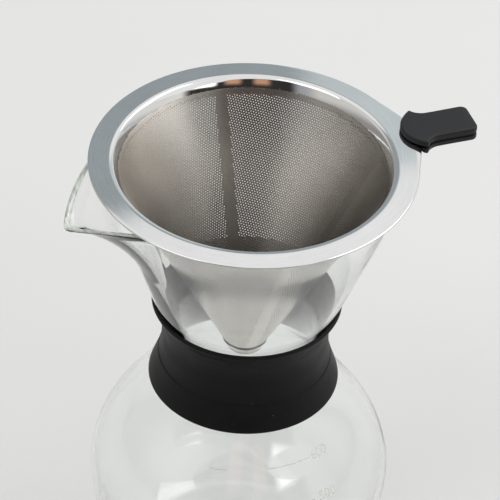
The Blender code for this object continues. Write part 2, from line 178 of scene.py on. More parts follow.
def revolve(name, angles, section, capped=False, sharp_deg=40.0):
    """Sweep section(angle) -> [(r, z)] round Z. Capped sections begin and end on the axis."""
    verts = []
    faces = []
    n = len(angles)
    if capped:
        first = section(angles[0])
        verts += [(0.0, 0.0, first[0][1]), (0.0, 0.0, first[-1][1])]
        rows = len(first) - 2
        for a in angles:
            for r, z in section(a)[1:-1]:
                verts.append((r * math.cos(a), r * math.sin(a), z))
        for i in range(n):
            a0 = 2 + i * rows
            b0 = 2 + ((i + 1) % n) * rows
            faces.append((0, b0, a0))
            faces.append((1, a0 + rows - 1, b0 + rows - 1))
            for j in range(rows - 1):
                faces.append((a0 + j, b0 + j, b0 + j + 1, a0 + j + 1))
    else:
        rows = len(section(angles[0]))
        for a in angles:
            for r, z in section(a):
                verts.append((r * math.cos(a), r * math.sin(a), z))
        for i in range(n):
            a0 = i * rows
            b0 = ((i + 1) % n) * rows
            for j in range(rows):
                k = (j + 1) % rows
                faces.append((a0 + j, b0 + j, b0 + k, a0 + k))
    obj = add_mesh(name, verts, faces, True, sharp_deg)
    fix_normals(obj)
    return obj


def fix_normals(obj, weld=0.0):
    """Turn all faces outward, after joining vertices closer than weld."""
    bm = bmesh.new()
    bm.from_mesh(obj.data)
    if weld > 0.0:
        bmesh.ops.remove_doubles(bm, verts=bm.verts, dist=weld)
    bmesh.ops.recalc_face_normals(bm, faces=bm.faces)
    bm.to_mesh(obj.data)
    bm.free()


def spline(points, per_span):
    """Catmull-Rom curve through an open row of points."""
    out = []
    n = len(points)
    for i in range(n - 1):
        p0 = points[max(i - 1, 0)]
        p1 = points[i]
        p2 = points[i + 1]
        p3 = points[min(i + 2, n - 1)]
        for s in range(per_span):
            t = s / per_span
            c = []
            for a, b, d, e in zip(p0, p1, p2, p3):
                c.append(0.5 * (2 * b + (d - a) * t + (2 * a - 5 * b + 4 * d - e) * t * t
                                + (3 * b - a - 3 * d + e) * t ** 3))
            out.append(tuple(c))
    out.append(points[-1])
    return out


def interpolate(table, z):
    """Monotone cubic through (z, r), rising in z."""
    if z <= table[0][0]:
        return table[0][1]
    if z >= table[-1][0]:
        return table[-1][1]
    steps = [(b[1] - a[1]) / (b[0] - a[0]) for a, b in zip(table[:-1], table[1:])]
    tang = [steps[0]]
    for a, b in zip(steps[:-1], steps[1:]):
        tang.append(0.0 if a * b <= 0.0 else 2.0 * a * b / (a + b))
    tang.append(steps[-1])
    for i in range(len(steps)):
        z0, r0 = table[i]
        z1, r1 = table[i + 1]
        if z <= z1:
            span = z1 - z0
            t = (z - z0) / span
            return ((1 + 2 * t) * (1 - t) ** 2 * r0 + t * (1 - t) ** 2 * span * tang[i]
                    + t * t * (3 - 2 * t) * r1 + t * t * (t - 1) * span * tang[i + 1])
    return table[-1][1]


# ---------------------------------------------------------------- carafe
GLASS_POINTS = [
    (0.0, 32.0), (1.0, 35.0), (3.5, 38.9), (8.0, 43.4), (15.0, 49.0), (24.0, 53.4), (34.0, 56.1),
    (46.8, 56.9), (56.0, 55.2), (62.0, 53.0), (68.0, 49.8), (74.0, 45.7), (78.0, 42.7), (82.0, 39.7),
    (86.0, 36.9), (90.0, 34.5), (94.0, 32.5), (98.0, 30.8), (102.0, 29.6), (106.0, 28.9),
    (110.5, 28.7), (114.5, 29.6), (118.5, 30.95), (122.5, 32.5),
]
GLASS_TABLE = [(STAND + z * MM, r * MM) for z, r in GLASS_POINTS]
STRAIGHT_START = STAND + 126.5 * MM
GLASS_TABLE.append((STRAIGHT_START, FUNNEL_RADIUS - FUNNEL_SLOPE * (GLASS_TOP - STRAIGHT_START)))
GLASS_TABLE.append((GLASS_TOP, FUNNEL_RADIUS))


def smooth_profile():
    """The table sampled every half millimetre and softened, so reflections run smoothly."""
    step = 0.5 * MM
    count = int((GLASS_TOP - STAND) / step) + 1
    rs = [interpolate(GLASS_TABLE, STAND + i * step) for i in range(count)]
    for _ in range(60):
        new = list(rs)
        for i in range(12, count - 1):
            new[i] = 0.25 * rs[i - 1] + 0.5 * rs[i] + 0.25 * rs[i + 1]
        rs = new
    return step, rs


PROFILE_STEP, PROFILE = smooth_profile()


def glass_radius(z):
    """Outside radius of the glass without its spout."""
    x = (z - STAND) / PROFILE_STEP
    if x >= len(PROFILE) - 1:
        return PROFILE[-1] + (x - len(PROFILE) + 1) * PROFILE_STEP * FUNNEL_SLOPE
    i = max(0, int(x))
    t = x - i
    return PROFILE[i] * (1 - t) + PROFILE[i + 1] * t


def spout_share(angle):
    """1 at the spout's middle, falling to 0 at its sides."""
    off = abs(offset_deg(angle, 180.0)) / SPOUT_HALF_ANGLE
    if off >= 1.0:
        return 0.0
    soft = math.sqrt(off * off + SPOUT_TIP_ROUNDING ** 2) - SPOUT_TIP_ROUNDING
    full = math.sqrt(1.0 + SPOUT_TIP_ROUNDING ** 2) - SPOUT_TIP_ROUNDING
    return 1.0 - soft / full


def spout_fade(z):
    """How much of the spout is left at this height, 1 at the rim."""
    t = (z - (GLASS_TOP - SPOUT_DEPTH)) / SPOUT_DEPTH
    return min(1.0, max(0.0, t)) ** SPOUT_FADE


def glass_outside(z, angle):
    """Outside radius of the glass with its spout."""
    return glass_radius(z) + SPOUT_REACH * spout_share(angle) ** SPOUT_POWER * spout_fade(z)


GLASS_ROWS = [0.0, 0.25, 0.7, 1.3, 2.2, 3.4, 5.0, 7.0, 9.0, 11.5]
GLASS_ROWS += [14.0 + 2.0 * i for i in range(87)]


def glass_section(angle):
    """Foot, outside, rounded rim, inside and floor of the glass."""
    share = spout_share(angle)
    drop = SPOUT_DROP * share ** SPOUT_DROP_POWER
    top = GLASS_TOP - drop
    wall = WALL * (1.0 + SPOUT_WALL_GAIN * share)

    def height(row):
        z = STAND + row * MM
        return z - drop * spout_fade(z)

    points = [(0.0, STAND + 0.9 * MM), (FOOT_RADIUS * 0.35, STAND + 0.8 * MM),
              (FOOT_RADIUS * 0.7, STAND + 0.45 * MM), (FOOT_RADIUS * 0.9, STAND + 0.05 * MM),
              (FOOT_RADIUS * 0.97, STAND), (FOOT_RADIUS * 1.0, STAND)]
    for row in GLASS_ROWS:
        points.append((glass_outside(STAND + row * MM, angle), height(row)))
    top_r = glass_outside(GLASS_TOP, angle)
    steps = 10
    for i in range(steps + 1):
        a = math.pi * i / steps
        r = top_r - 0.5 * wall + 0.5 * wall * math.cos(a)
        points.append((r, top - 0.5 * wall + 0.5 * wall * math.sin(a)))
    floor_row = 30.0
    first_row = GLASS_ROWS[3]
    for row in reversed(GLASS_ROWS[3:]):
        z = STAND + row * MM
        r = glass_outside(z, angle)
        slope = (glass_outside(z + 0.5 * MM, angle) - glass_outside(z - 0.5 * MM, angle)) / MM
        tilt = math.sqrt(1.0 + min(slope * slope, 9.0))
        if row < floor_row:
            k = row / floor_row
            inner_r = r - wall * (1.25 - 0.25 * k) * min(tilt, 1.6)
            lift = (row - first_row) / (floor_row - first_row)
            points.append((inner_r, STAND + BASE_WALL + lift * (floor_row * MM - BASE_WALL)))
        else:
            points.append((r - wall * tilt, height(row)))
    points.append((FOOT_RADIUS, STAND + BASE_WALL - 0.15 * MM))
    points.append((FOOT_RADIUS * 0.7, STAND + BASE_WALL + 0.5 * MM))
    points.append((FOOT_RADIUS * 0.35, STAND + BASE_WALL + 1.1 * MM))
    points.append((0.0, STAND + BASE_WALL + 1.3 * MM))
    return points


# ----------------------------------------------------------- neck sleeve
def sleeve_section(angle):
    """Skirt, crease, band and flared lip, the same at every angle."""
    def inner(z):
        return glass_radius(z) + SLEEVE_GAP
    band = SLEEVE_BAND_RADIUS
    lip = SLEEVE_LIP_RADIUS
    skirt = SLEEVE_SKIRT_RADIUS
    crease = SLEEVE_CREASE
    top = SLEEVE_TOP
    low = SLEEVE_BOTTOM
    lower = spline([
        (skirt - 0.9 * MM, low), (skirt - 0.2 * MM, low + 0.2 * MM), (skirt, low + 0.75 * MM),
        (skirt - 0.3 * MM, low + 1.9 * MM), (skirt - 1.25 * MM, low + 4.6 * MM),
        (skirt - 2.35 * MM, low + 7.8 * MM), (band + 1.35 * MM, crease - 0.5 * MM),
        (band + 1.16 * MM, crease - 0.1 * MM)], 5)
    upper = spline([
        (band + 1.0 * MM, crease + 0.12 * MM), (band + 0.84 * MM, crease + 0.7 * MM),
        (band + 0.3 * MM, crease + 4.3 * MM), (band, crease + 10.0 * MM),
        (band + 0.3 * MM, top - 12.4 * MM), (band + 1.0 * MM, top - 9.1 * MM),
        (band + 1.8 * MM, top - 6.2 * MM), (band + 2.8 * MM, top - 3.9 * MM),
        (lip - 0.35 * MM, top - 2.0 * MM), (lip, top - 1.1 * MM),
        (lip - 0.15 * MM, top - 0.4 * MM), (lip - 0.5 * MM, top - 0.05 * MM),
        (inner(top) + 0.05 * MM, top)], 5)
    points = lower + upper
    z = top - 1.0 * MM
    while z > low + 0.5 * MM:
        points.append((inner(z), z))
        z -= 1.5 * MM
    points.append((inner(low) + 0.1 * MM, low))
    return points


# ------------------------------------------------------------ filter rim
def flange_edge(angle):
    """Outer radius of the flange and its tab."""
    off = abs(offset_deg(angle, GRIP_AZIMUTH))
    if off >= TAB_FLARE_ANGLE:
        return FLANGE_RADIUS
    a = math.radians(off)
    share = off / TAB_FLARE_ANGLE
    flare = FLANGE_RADIUS + TAB_FLARE * (1.0 - share) ** 2 * (1.0 + 2.0 * share)
    side = TAB_HALF_WIDTH / math.sin(a) if off > 0.3 else 1.0
    strip = min(TAB_END / math.cos(a), side)
    return max(FLANGE_RADIUS, strip, flare)


def flange_drop(r):
    """How much the flange has fallen at radius r."""
    t = (r - FLANGE_INNER_RADIUS) / (FLANGE_RADIUS - FLANGE_INNER_RADIUS)
    return FLANGE_FALL * min(1.0, max(0.0, t))


def cone_inside(depth):
    """Inside radius of the sheet at this depth below the flange's top."""
    return THROAT_RADIUS - CONE_SLOPE * (depth - THROAT_STEP_DEPTH)


def rim_section(angle):
    """Collar, step, throat, flange and underside, one stamping."""
    thick = FLANGE_THICK
    edge = flange_edge(angle)
    inner = FLANGE_INNER_RADIUS
    throat = THROAT_RADIUS
    end_z = TOP - THROAT_DEPTH
    flat_edge = min(edge, FLANGE_RADIUS)
    collar = CONE_SHEET + CONE_SEAT_GAP
    seat = THROAT_STEP_DEPTH + COLLAR_DROP
    upper = [(cone_inside(THROAT_DEPTH) + collar, end_z + 0.05 * MM),
             (cone_inside(seat) + collar, TOP - seat),
             (throat + 0.12 * MM, TOP - THROAT_STEP_DEPTH - 0.08 * MM)]
    upper += spline([
        (throat, TOP - THROAT_STEP_DEPTH), (throat + 0.38 * MM, TOP - 2.8 * MM),
        (throat + 0.85 * MM, TOP - 2.0 * MM), (throat + 1.4 * MM, TOP - 1.15 * MM),
        (throat + 1.85 * MM, TOP - 0.55 * MM), (throat + 2.4 * MM, TOP - 0.15 * MM), (inner, TOP)], 6)
    radii = [inner + (flat_edge - 0.8 * MM - inner) * i / 8.0 for i in range(1, 9)]
    upper += [(r, TOP - flange_drop(r)) for r in radii]
    top = TOP - FLANGE_FALL
    low = top - thick
    upper += [(edge - 0.35 * MM, top), (edge - 0.1 * MM, top - 0.1 * MM), (edge, top - 0.35 * MM),
              (edge, low + 0.3 * MM), (edge - 0.1 * MM, low + 0.1 * MM), (edge - 0.35 * MM, low),
              (flat_edge - 0.8 * MM, low + 0.02 * MM), (inner + 3.0 * MM, TOP - thick - 0.1 * MM),
              (inner + 0.6 * MM, TOP - thick)]
    lower = spline([
        (inner + 0.1 * MM, TOP - thick), (throat + 2.3 * MM, TOP - 1.3 * MM),
        (throat + 1.6 * MM, TOP - 2.2 * MM),
        (cone_inside(seat) + collar + THROAT_WALL, TOP - seat + 0.3 * MM),
        (cone_inside(THROAT_DEPTH) + collar + THROAT_WALL, end_z)], 3)
    return upper + lower + [(cone_inside(THROAT_DEPTH) + collar + 0.1 * MM, end_z)]


# ----------------------------------------------------------- filter cone
SIN_A = CONE_SLOPE / math.sqrt(1.0 + CONE_SLOPE ** 2)
COS_A = 1.0 / math.sqrt(1.0 + CONE_SLOPE ** 2)
APEX_DEPTH = CONE_END_DEPTH + CONE_END_RADIUS / CONE_SLOPE


def slant(depth):
    """Distance along the sheet from the cone's apex to this depth."""
    return (APEX_DEPTH - depth) / COS_A


def on_cone(rho, theta, lift):
    """Point at slant distance rho and azimuth theta, lifted outward from the inner face."""
    r = rho * SIN_A + lift * COS_A
    z = TOP - APEX_DEPTH + rho * COS_A - lift * SIN_A
    return (r * math.cos(theta), r * math.sin(theta), z)


BAND_TOP = slant(CONE_TOP_DEPTH + 0.75 * MM)
BAND_END = slant(TIP_TOP_DEPTH - 0.6 * MM)


def lane_gap(lane):
    """Turn from one plain lane to the next, in degrees."""
    return (LANE_ANGLES[(lane + 1) % 4] - LANE_ANGLES[lane]) % 360.0


def perforated_panel(name, lane):
    """One panel of the sheet between two plain lanes, with every hole cut through."""
    middle = math.radians(LANE_ANGLES[lane] + 0.5 * lane_gap(lane))
    half_flat = math.radians(0.5 * lane_gap(lane)) * SIN_A
    cell_r = HOLE_PITCH / math.sqrt(3.0)
    row_step = HOLE_PITCH * math.sqrt(3.0) / 2.0
    verts = []
    faces = []
    corners = {}
    sides = {}
    turns = [math.radians(30.0 + 60.0 * k) for k in range(6)]
    corner_dirs = [(math.cos(a), math.sin(a)) for a in turns]

    def put(x, y, lift):
        rho = math.hypot(x, y)
        theta = middle + math.atan2(x, y) / SIN_A
        verts.append(on_cone(rho, theta, lift))
        return len(verts) - 1

    def corner(x, y):
        key = (round(x / (0.05 * MM)), round(y / (0.05 * MM)))
        if key not in corners:
            corners[key] = (put(x, y, 0.0), put(x, y, CONE_SHEET))
        return corners[key]

    columns = int(BAND_TOP * math.sin(half_flat) / HOLE_PITCH) + 2
    rows = int(BAND_TOP / row_step) + 2
    for j in range(rows):
        y = j * row_step
        shift = 0.5 if j % 2 else 0.0
        for i in range(-columns, columns + 1):
            x = (i + shift) * HOLE_PITCH
            rho = math.hypot(x, y)
            if rho > BAND_TOP + HOLE_PITCH or rho < BAND_END - HOLE_PITCH:
                continue
            to_lane = rho * math.sin(half_flat - abs(math.atan2(x, y)))
            if to_lane < LANE_HALF - 1.1 * cell_r:
                continue
            ring = [corner(x + cell_r * dx, y + cell_r * dy) for dx, dy in corner_dirs]
            for k in range(6):
                pair = (ring[k], ring[(k + 1) % 6])
                sides.setdefault(frozenset((pair[0][0], pair[1][0])), []).append(pair)
            whole = (to_lane > LANE_HALF + 0.3 * HOLE_PITCH and rho < BAND_TOP - 0.35 * HOLE_PITCH
                     and rho > BAND_END + 0.6 * HOLE_PITCH)
            if not whole:
                faces.append(tuple(c[0] for c in ring))
                faces.append(tuple(c[1] for c in reversed(ring)))
                continue
            inner = []
            for dx, dy in corner_dirs:
                hx = x + HOLE_RADIUS * dx
                hy = y + HOLE_RADIUS * dy
                inner.append((put(hx, hy, 0.0), put(hx, hy, CONE_SHEET)))
            for k in range(6):
                m = (k + 1) % 6
                faces.append((ring[k][0], ring[m][0], inner[m][0], inner[k][0]))
                faces.append((ring[m][1], ring[k][1], inner[k][1], inner[m][1]))
                faces.append((inner[k][0], inner[m][0], inner[m][1], inner[k][1]))
    for pairs in sides.values():
        if len(pairs) == 1:
            a, b = pairs[0]
            faces.append((b[0], a[0], a[1], b[1]))
    return add_mesh(name, verts, faces, False)


def cone_frame(name):
    """The plain parts of the sheet: upper band, lower band and the four lanes."""
    lift_in = -LANE_PROUD
    lift_out = CONE_SHEET + LANE_PROUD
    rho_a = slant(CONE_TOP_DEPTH)
    rho_d = slant(CONE_END_DEPTH)
    rows = [rho_a, 0.5 * (rho_a + BAND_TOP), BAND_TOP]
    span = 44
    rows += [BAND_TOP + (BAND_END - BAND_TOP) * i / span for i in range(1, span + 1)]
    rows += [0.5 * (BAND_END + rho_d), rho_d]
    band_rows = {0, 1, len(rows) - 3, len(rows) - 2}
    lane_cols = 4
    panel_cols = 72
    columns = []
    for lane in range(4):
        columns += [("lane", lane, -1.0 + 2.0 * i / lane_cols) for i in range(lane_cols)]
        columns += [("panel", lane, i / panel_cols) for i in range(panel_cols)]
    verts = []
    for kind, lane, s in columns:
        base = math.radians(LANE_ANGLES[lane])
        gap = math.radians(lane_gap(lane))
        for rho in rows:
            half = LANE_HALF / rho / SIN_A
            if kind == "lane":
                theta = base + s * half
            else:
                theta = base + half + s * (gap - 2.0 * half)
            verts.append(on_cone(rho, theta, lift_in))
            verts.append(on_cone(rho, theta, lift_out))
    n = len(rows)
    total = len(columns)

    def vid(c, r, side):
        return ((c % total) * n + r) * 2 + side

    def filled(c, r):
        if r < 0 or r >= n - 1:
            return False
        return columns[c % total][0] == "lane" or r in band_rows

    faces = []
    for c in range(total):
        for r in range(n - 1):
            if not filled(c, r):
                continue
            faces.append((vid(c, r, 0), vid(c + 1, r, 0), vid(c + 1, r + 1, 0), vid(c, r + 1, 0)))
            faces.append((vid(c, r, 1), vid(c, r + 1, 1), vid(c + 1, r + 1, 1), vid(c + 1, r, 1)))
            if not filled(c, r - 1):
                faces.append((vid(c, r, 0), vid(c, r, 1), vid(c + 1, r, 1), vid(c + 1, r, 0)))
            if not filled(c, r + 1):
                faces.append((vid(c, r + 1, 0), vid(c + 1, r + 1, 0),
                              vid(c + 1, r + 1, 1), vid(c, r + 1, 1)))
            if not filled(c - 1, r):
                faces.append((vid(c, r, 0), vid(c, r + 1, 0), vid(c, r + 1, 1), vid(c, r, 1)))
            if not filled(c + 1, r):
                faces.append((vid(c + 1, r, 0), vid(c + 1, r, 1),
                              vid(c + 1, r + 1, 1), vid(c + 1, r + 1, 0)))
    return add_mesh(name, verts, faces, True, 40.0)


def tip_section(angle):
    """Pressed cap over the cone's lower end, the same at every angle."""
    top = TOP - TIP_TOP_DEPTH
    end = TOP - TIP_END_DEPTH
    lower = CONE_END_RADIUS + CONE_SHEET + TIP_GAP
    upper = lower + CONE_SLOPE * (CONE_END_DEPTH - TIP_TOP_DEPTH)
    wall = TIP_WALL
    seat = TOP - CONE_END_DEPTH - TIP_FLOOR_GAP
    outside = spline([
        (0.05 * MM, end), (3.3 * MM, end + 0.1 * MM), (5.2 * MM, end + 0.5 * MM),
        (lower + wall - 0.6 * MM, end + 1.15 * MM), (lower + wall, seat),
        (0.5 * (upper + lower) + wall, 0.5 * (seat + top)), (upper + wall, top - 0.15 * MM)], 6)
    rim = [(upper + wall * 0.6, top), (upper + wall * 0.2, top - 0.05 * MM), (upper, top - 0.2 * MM)]
    inside = spline([
        (lower, seat), (lower - 0.55 * MM, seat - 0.6 * MM), (5.0 * MM, end + 1.05 * MM),
        (3.2 * MM, end + 0.6 * MM), (0.05 * MM, end + 0.5 * MM)], 5)
    return [(0.0, end)] + outside + rim + inside + [(0.0, end + 0.5 * MM)]


# ------------------------------------------------------------------ grip
def grip_half():
    """Outline of the grip on one side of its middle line, from the inner end outward."""
    half = []
    steps = 14
    for i in range(steps + 1):
        share = 0.985 * i / steps
        half.append((GRIP_INNER + (GRIP_CORNER - GRIP_INNER) * share ** 2.2, GRIP_CORNER_HALF * share))
    flank = spline([
        (GRIP_CORNER + 0.12 * MM, GRIP_CORNER_HALF),
        (GRIP_CORNER + 0.7 * MM, GRIP_CORNER_HALF - 0.4 * MM),
        (GRIP_CORNER + 1.7 * MM, GRIP_WAIST_HALF + 1.45 * MM),
        (GRIP_CORNER + 3.1 * MM, GRIP_WAIST_HALF + 0.6 * MM),
        (GRIP_CORNER + 4.8 * MM, GRIP_WAIST_HALF + 0.1 * MM),
        (GRIP_CORNER + 7.0 * MM, GRIP_WAIST_HALF), (GRIP_CORNER + 12.0 * MM, GRIP_WAIST_HALF),
        (GRIP_OUTER - 2.8 * MM, GRIP_END_HALF)], 5)
    half += flank
    corner = GRIP_END_CORNER
    cx = GRIP_OUTER - corner
    cy = GRIP_END_HALF - corner
    for i in range(1, 13):
        a = math.radians(90.0 - 7.5 * i)
        half.append((cx + corner * math.cos(a), cy + corner * math.sin(a)))
    for i in range(1, 5):
        half.append((GRIP_OUTER, cy * (1.0 - i / 4.0)))
    return half


def to_segment(px, py, ax, ay, bx, by):
    """Distance from a point to the segment from a to b."""
    dx, dy = bx - ax, by - ay
    t = ((px - ax) * dx + (py - ay) * dy) / (dx * dx + dy * dy)
    t = min(1.0, max(0.0, t))
    return math.hypot(px - ax - t * dx, py - ay - t * dy)


def inset(outline, amount):
    """Move a closed outline inward. Points that would cross over gather at the corner."""
    if amount <= 0.0:
        return list(outline)
    n = len(outline)
    moved = []
    valid = []
    for i in range(n):
        ax, ay = outline[i - 1]
        bx, by = outline[i]
        cx, cy = outline[(i + 1) % n]
        tx, ty = cx - ax, cy - ay
        length = math.hypot(tx, ty)
        px, py = bx - ty / length * amount, by + tx / length * amount
        near = min(to_segment(px, py, *outline[k - 1], *outline[k]) for k in range(n))
        moved.append((px, py))
        valid.append(near > amount * 0.97)
    out = list(moved)
    for i in range(n):
        if valid[i]:
            continue
        back = next(k for k in range(1, n) if valid[i - k])
        ahead = next(k for k in range(1, n) if valid[(i + k) % n])
        share = back / (back + ahead)
        bx, by = moved[i - back]
        ax, ay = moved[(i + ahead) % n]
        out[i] = (bx + (ax - bx) * share, by + (ay - by) * share)
    return out


def stack(layers, verts, faces):
    """Append a closed body made of outlines at rising heights."""
    start = len(verts)
    n = len(layers[0][0])
    for outline, z in layers:
        for x, y in outline:
            verts.append((x, y, z))
    for level in range(len(layers) - 1):
        a = start + level * n
        b = a + n
        for i in range(n):
            j = (i + 1) % n
            faces.append((a + i, a + j, b + j, b + i))
    faces.append(tuple(start + i for i in reversed(range(n))))
    last = start + (len(layers) - 1) * n
    faces.append(tuple(last + i for i in range(n)))


def build_grip():
    """Upper and lower slabs with rounded edges, joined by a core that leaves the groove."""
    half = grip_half()
    full = half + [(x, -y) for x, y in reversed(half[1:-1])]
    # The outline runs counterclockwise, with the material on its left.
    area = sum(full[i - 1][0] * full[i][1] - full[i][0] * full[i - 1][1] for i in range(len(full)))
    if area < 0:
        full.reverse()
    verts = []
    faces = []
    bottom = TOP - GRIP_BOTTOM
    top = TOP + GRIP_TOP
    upper_low = TOP + SLOT_GAP
    lower_high = TOP - FLANGE_THICK - SLOT_GAP

    def rounded(outline, z_low, z_high, r_low, r_high):
        layers = []
        for i in range(6):
            a = math.radians(90.0 * i / 5)
            z = z_low + r_low * (1.0 - math.cos(a))
            layers.append((inset(outline, r_low * (1.0 - math.sin(a))), z))
        for i in range(7):
            a = math.radians(90.0 * i / 6)
            z = z_high - r_high * (1.0 - math.sin(a))
            layers.append((inset(outline, r_high * (1.0 - math.cos(a))), z))
        return layers

    stack(rounded(full, upper_low, top, 0.22 * MM, 0.7 * MM), verts, faces)
    lower = cut_outline(full, GRIP_LOWER_START)
    stack(rounded(lower, bottom, lower_high, 0.6 * MM, 0.22 * MM), verts, faces)
    core = cut_outline(inset(full, GROOVE_DEPTH), GRIP_CORNER + SLOT_MOUTH)
    stack([(core, lower_high - 0.3 * MM), (core, upper_low + 0.3 * MM)], verts, faces)
    obj = add_mesh("grip_body", verts, faces, True, 35.0)
    obj.data.transform(Matrix.Rotation(math.radians(GRIP_AZIMUTH), 4, "Z"))
    return obj


def cut_outline(outline, x_min):
    """Keep the part of a closed outline beyond x_min, closed by a straight edge."""
    n = len(outline)
    start = next(i for i in range(n) if outline[i - 1][0] <= x_min < outline[i][0])
    ordered = [outline[(start + i) % n] for i in range(n)]
    kept = [p for p in ordered if p[0] > x_min]
    first, last = kept[0], kept[-1]
    closing = []
    for i in range(1, 9):
        t = i / 9.0
        closing.append((x_min, last[1] * (1 - t) + first[1] * t))
    return kept + closing


# -------------------------------------------------------------- material
class Nodes:
    """Small helper round a node tree."""

    def __init__(self, tree):
        self.tree = tree
        self.x = -200

    def new(self, kind, **values):
        node = self.tree.nodes.new(kind)
        self.x -= 60
        node.location = (self.x, 0)
        for key, value in values.items():
            setattr(node, key, value)
        return node

    def link(self, a, b):
        self.tree.links.new(a, b)

    def math(self, op, a, b=None):
        node = self.new("ShaderNodeMath", operation=op)
        for i, v in enumerate((a, b)):
            if v is None:
                continue
            if isinstance(v, (int, float)):
                node.inputs[i].default_value = v
            else:
                self.link(v, node.inputs[i])
        return node.outputs[0]

    def ramp(self, value, stops):
        node = self.new("ShaderNodeValToRGB")
        elements = node.color_ramp.elements
        while len(elements) > 1:
            elements.remove(elements[-1])
        elements[0].position = stops[0][0]
        elements[0].color = (*stops[0][1], 1.0)
        for pos, col in stops[1:]:
            e = elements.new(pos)
            e.color = (*col, 1.0)
        self.link(value, node.inputs[0])
        return node.outputs[0]

    def span(self, value, a, b, c, d):
        """Map value from the range a to b on to the range c to d."""
        node = self.new("ShaderNodeMapRange")
        node.inputs["From Min"].default_value = a
        node.inputs["From Max"].default_value = b
        node.inputs["To Min"].default_value = c
        node.inputs["To Max"].default_value = d
        self.link(value, node.inputs["Value"])
        return node.outputs["Result"]

    def noise(self, vector, scale, detail, rough):
        node = self.new("ShaderNodeTexNoise")
        node.inputs["Scale"].default_value = scale
        node.inputs["Detail"].default_value = detail
        node.inputs["Roughness"].default_value = rough
        self.link(vector, node.inputs["Vector"])
        return node.outputs["Fac"]

    def bump(self, height, strength, distance):
        node = self.new("ShaderNodeBump")
        node.inputs["Strength"].default_value = strength
        node.inputs["Distance"].default_value = distance
        self.link(height, node.inputs["Height"])
        return node.outputs["Normal"]


def base_material(name):
    """A new material, its Principled shader, its nodes and its object coordinates."""
    mat = bpy.data.materials.new(name)
    mat.use_nodes = True
    tree = mat.node_tree
    shader = tree.nodes["Principled BSDF"]
    kit = Nodes(tree)
    coords = kit.new("ShaderNodeTexCoord")
    return mat, shader, kit, coords.outputs["Object"]


def split(kit, vector):
    """The X, Y and Z of a vector."""
    node = kit.new("ShaderNodeSeparateXYZ")
    kit.link(vector, node.inputs[0])
    return node.outputs


def radius_of(kit, parts):
    """Distance from the Z axis."""
    return kit.math("SQRT", kit.math("ADD", kit.math("MULTIPLY", parts[0], parts[0]),
                                     kit.math("MULTIPLY", parts[1], parts[1])))


def blend(kit, share, a, b):
    """The value a where share is 0 and b where it is 1. Each is a number or a socket."""
    node = kit.new("ShaderNodeMix", data_type="FLOAT")
    kit.link(share, node.inputs[0])
    for i, v in ((2, a), (3, b)):
        if isinstance(v, (int, float)):
            node.inputs[i].default_value = v
        else:
            kit.link(v, node.inputs[i])
    return node.outputs[0]


def polar(kit, coords, k_r, k_a, k_z):
    """Vector of (radius, angle, height), each scaled, so grain follows turned metal."""
    parts = split(kit, coords)
    r = radius_of(kit, parts)
    a = kit.math("ARCTAN2", parts[1], parts[0])
    comb = kit.new("ShaderNodeCombineXYZ")
    kit.link(kit.math("MULTIPLY", r, k_r), comb.inputs[0])
    kit.link(kit.math("MULTIPLY", a, k_a), comb.inputs[1])
    kit.link(kit.math("MULTIPLY", parts[2], k_z), comb.inputs[2])
    return comb.outputs[0]


def glass_material():
    """Clear glass with faint smudges and a slow wave in its surface."""
    mat, shader, kit, coords = base_material("clear_glass")
    shader.inputs["Transmission Weight"].default_value = 1.0
    shader.inputs["IOR"].default_value = 1.47
    smudge = kit.noise(coords, 55.0, 3.0, 0.6)
    color = kit.ramp(smudge, [(0.3, (0.985, 0.995, 0.99)), (0.75, (0.965, 0.98, 0.972))])
    kit.link(color, shader.inputs["Base Color"])
    kit.link(kit.span(smudge, 0.45, 0.8, 0.0, 0.035), shader.inputs["Roughness"])
    wave = kit.noise(coords, 30.0, 1.0, 0.4)
    kit.link(kit.bump(wave, 0.06, 0.002), shader.inputs["Normal"])
    return mat


def rim_material():
    """The fire-polished rim, where the glass is seen edge on and shows its pale green."""
    mat, shader, kit, coords = base_material("glass_rim")
    streak = kit.noise(polar(kit, coords, 900.0, 14.0, 300.0), 1.0, 3.0, 0.6)
    color = kit.ramp(streak, [
        (0.36, (0.50, 0.56, 0.47)), (0.5, (0.74, 0.79, 0.73)), (0.64, (0.93, 0.95, 0.93))])
    kit.link(color, shader.inputs["Base Color"])
    kit.link(kit.span(streak, 0.3, 0.7, 0.03, 0.12), shader.inputs["Roughness"])
    shader.inputs["Transmission Weight"].default_value = 0.45
    shader.inputs["IOR"].default_value = 1.47
    return mat


def ink_material():
    """Pale print, worn thin in places."""
    mat, shader, kit, coords = base_material("bulb_marks")
    wear = kit.noise(coords, 900.0, 3.0, 0.6)
    color = kit.ramp(wear, [(0.35, (0.60, 0.56, 0.49)), (0.65, (0.72, 0.68, 0.61))])
    kit.link(color, shader.inputs["Base Color"])
    kit.link(kit.span(wear, 0.35, 0.65, 0.18, 0.40), shader.inputs["Alpha"])
    shader.inputs["Roughness"].default_value = 0.5
    return mat


